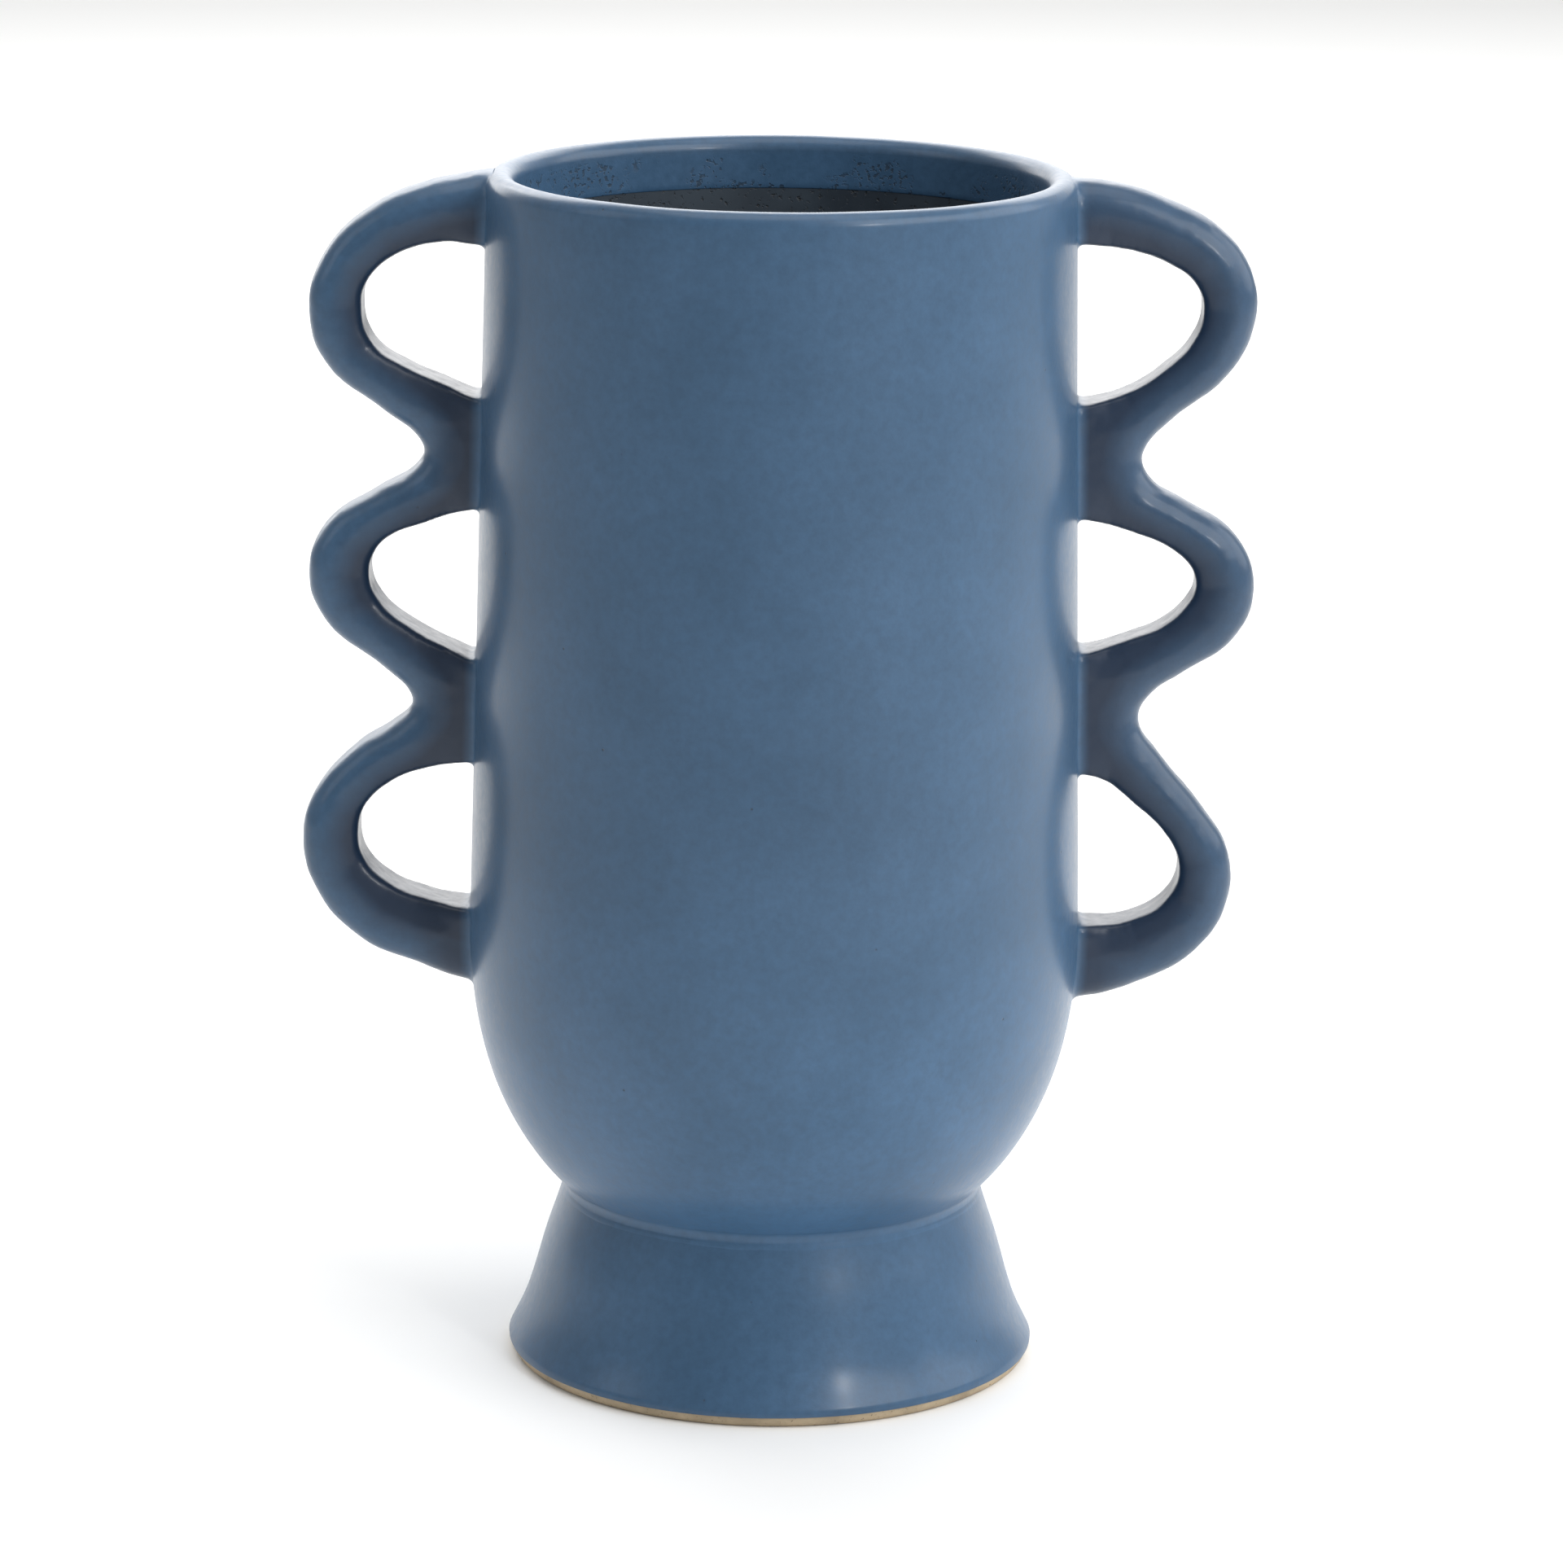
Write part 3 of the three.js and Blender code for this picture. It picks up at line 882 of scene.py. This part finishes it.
# Both faces fall away a little towards the loops, where the strap was pinched thinner.
def leanInwards(slab, strap):
    finder = edgeFinder(strap["loops"], steps=8)
    half = mm(strap["width"]) / 2
    first, full = (mm(gap) for gap in strapShape["leanGap"])
    for name, sign in (("front", -1), ("back", 1)):

        def leanAt(x, y, z):
            near = ramp(finder.find((x, 0, z))[2], mm(strapShape["leanWidth"]), 0)
            offWall = ramp(x - wallRadius(min(z, wallTop)), first, full)
            return near ** strapShape["leanCurve"] * offWall * ramp(y * sign, 0, half)

        weighted(slab, name, leanAt)
        withModifier(slab, "DISPLACE", direction="Y", strength=-sign * mm(strapShape["leanDepth"]),
                     mid_level=0, vertex_group=name)


# How much the slip is smoothed: fully at the wall, and not at all further out.
def nearWallAt(x, y, z):
    far, close = strapShape["slipGap"]
    return ramp(x - wallRadius(min(z, wallTop)), mm(far), mm(close))


# Both handles are built on the right; the left one is then turned round the vase.
def faceSide(piece, side):
    if side == "left":
        piece.rotation_euler.z = math.pi
        settle(piece)


def makeHandle(side, strap, glaze):
    slab = strapSlab("strap_" + side, strap)
    finder = edgeFinder([strap["outer"]] + strap["loops"], steps=6)
    roundEdges(slab, strap, finder, outer=True, radius=strapShape["outerRound"], segments=6)
    roundEdges(slab, strap, finder, outer=False, radius=strapShape["innerRound"], segments=3)
    patch = wallPatch(strap)
    onlySelect(slab, patch)
    bpy.ops.object.join()
    withModifier(slab, "REMESH", mode="VOXEL", voxel_size=mm(strapShape["voxel"]))
    weighted(slab, "nearWall", nearWallAt)
    withModifier(slab, "SMOOTH", factor=0.5, iterations=strapShape["rounding"])
    leanInwards(slab, strap)
    withModifier(slab, "SMOOTH", factor=0.5, iterations=strapShape["slipRounding"], vertex_group="nearWall")
    for size, depth in strapShape["bends"]:
        unevenness(slab, size, depth)
    paintPoolShade(slab, strap)

    # the strap and its slip part where the slip was worked out to, along the wall's own slope
    taper = math.atan((bodyRadius - mm(vessel["rimRadius"])) / (wallTop - bowlTop))
    outward = Vector((math.cos(taper), 0, math.sin(taper)))
    seam = Vector((bodyRadius + mm(strapShape["filletReach"]), 0, bowlTop))
    sunk = seam - outward * mm(strapShape["filletReach"] + strapShape["slipSunk"])
    roots = copyOf(slab, "slip_" + side)
    cutAway(slab, seam, -outward)
    cutAway(roots, seam, outward)
    print(side, "strap", len(slab.data.polygons), "roots", len(roots.data.polygons))

    spread = strapShape["slipSpread"]
    half = mm(strap["width"] / 2 + spread)
    rootTops = [strap["outer"][0][1]] + [loop[-1][1] for loop in strap["loops"]]
    rootLows = [loop[0][1] for loop in strap["loops"]] + [strap["outer"][-1][1]]
    for number, (rootTop, rootLow) in enumerate(zip(rootTops, rootLows), 1):
        piece = copyOf(roots, "slip_%s_%d" % (side, number))
        if number > 1:       # the first root runs up over the rim
            cutAway(piece, (0, 0, vaseTop - mm(rootTop - spread)), (0, 0, 1))
        cutAway(piece, (0, 0, vaseTop - mm(rootLow + spread)), (0, 0, -1))
        cutAway(piece, (0, half, 0), (0, 1, 0))
        cutAway(piece, (0, -half, 0), (0, -1, 0))
        cutAway(piece, sunk, -outward)
        faceSide(piece, side)
        smoothShade(piece, degrees=50)
        handOver(piece, "slip_%s_root_%d" % (side, number), glaze)
    bpy.data.objects.remove(roots)
    faceSide(slab, side)
    smoothShade(slab, degrees=50)
    handOver(slab, "handle_" + side, glaze)


# Floor, light and surroundings. Brightness without a unit is the world's own.
studio = {
    "floor": "#F7F7F6",
    "floorRoughness": 0.9,
    "floorSize": 12000,
    "floorGap": 0.05,        # keeps the floor just clear of the foot
    "around": 0.33,          # brightness of the surroundings, and how much the far side adds
    "behind": 2.2,
    "brightAxis": (0, 0.97, 0.24),
    "gather": 8,             # how closely that brightness gathers round its axis
    "height": 140,           # what the lights are turned towards
    # azimuth is measured from the camera's side towards the right, seen from the front
    "lights": {
        "overhead_softbox": {
            "azimuth": 0, "elevation": 84, "distance": 1150, "size": (1000, 800), "power": 4.5},
        "right_softbox": {
            "azimuth": 96, "elevation": 27, "distance": 1500, "size": (1200, 1000), "power": 9},
        "left_softbox": {
            "azimuth": -145, "elevation": 24, "distance": 1500, "size": (600, 1100), "power": 4.5},
        "left_side_softbox": {
            "azimuth": -74, "elevation": 32, "distance": 1500, "size": (600, 900), "power": 2},
        "fill_softbox": {
            "azimuth": 50, "elevation": 36, "distance": 1500, "size": (1000, 1000), "power": 10.8},
        "front_softbox": {
            "azimuth": 35, "elevation": 21.5, "distance": 1700, "size": (120, 120), "power": 3},
    },
    # hangs over the floor behind the vase and shines straight down on it
    "backdrop": {"place": (0, 1700, 1300), "size": (2400, 1600), "power": 28},
}


def addSoftbox(name, place, light):
    bpy.ops.object.light_add(type="AREA", location=place)
    lamp = bpy.context.active_object
    lamp.name = name
    lamp.data.shape = "RECTANGLE"
    lamp.data.size = mm(light["size"][0])
    lamp.data.size_y = mm(light["size"][1])
    lamp.data.energy = light["power"]
    return lamp


def makeStudio():
    bpy.ops.object.select_all(action="DESELECT")
    bpy.ops.mesh.primitive_plane_add(
        size=mm(studio["floorSize"]), location=(0, 0, cadLow[2] - mm(studio["floorGap"])))
    floor = bpy.context.active_object
    floor.name = "floor"
    material, tree = newMaterial("pale_paper_floor")
    shader = addNode(tree, "ShaderNodeBsdfPrincipled", inputs={
        "Base Color": linear(studio["floor"]), "Roughness": studio["floorRoughness"]})
    addNode(tree, "ShaderNodeOutputMaterial", inputs={"Surface": shader.outputs["BSDF"]})
    floor.data.materials.append(material)

    world = bpy.data.worlds.new("studio")
    bpy.context.scene.world = world
    world.use_nodes = True
    tree = world.node_tree
    tree.nodes.clear()
    place = addNode(tree, "ShaderNodeTexCoord").outputs["Generated"]
    towards = addNode(tree, "ShaderNodeVectorMath", {"operation": "DOT_PRODUCT"}, {
        0: place, 1: studio["brightAxis"]})
    facing = addNode(tree, "ShaderNodeMapRange", inputs={"Value": towards.outputs["Value"]})
    spread = addNode(tree, "ShaderNodeMath", {"operation": "POWER"}, {
        0: facing.outputs["Result"], 1: studio["gather"]})
    strength = addNode(tree, "ShaderNodeMath", {"operation": "MULTIPLY_ADD"}, {
        0: spread.outputs["Value"], 1: studio["behind"], 2: studio["around"]})
    background = addNode(tree, "ShaderNodeBackground", inputs={
        "Color": (1, 1, 1, 1), "Strength": strength.outputs["Value"]})
    addNode(tree, "ShaderNodeOutputWorld", inputs={"Surface": background.outputs["Background"]})
    bpy.context.scene.view_settings.view_transform = "Standard"

    for name, light in studio["lights"].items():
        azimuth, elevation = math.radians(light["azimuth"]), math.radians(light["elevation"])
        target = Vector((0, 0, mm(studio["height"])))
        level = math.cos(elevation)
        away = Vector((math.sin(azimuth) * level, -math.cos(azimuth) * level, math.sin(elevation)))
        lamp = addSoftbox(name, target + away * mm(light["distance"]), light)
        lamp.rotation_euler = away.to_track_quat("Z", "Y").to_euler()
    backdrop = studio["backdrop"]
    addSoftbox("backdrop_softbox", [mm(value) for value in backdrop["place"]], backdrop)


makeCamera()
makeStudio()
glazeFinish = makeGlaze()
clayFinish = makeClay()
linerFinish = makeLiner()
print("camera, studio and materials made")
makeVessel(glazeFinish, clayFinish, linerFinish)
print("vessel thrown")
makeFoot(glazeFinish, clayFinish)
print("foot thrown")
for side, strap in straps.items():
    makeHandle(side, strap, glazeFinish)
    print("handle", side, "pulled and luted")
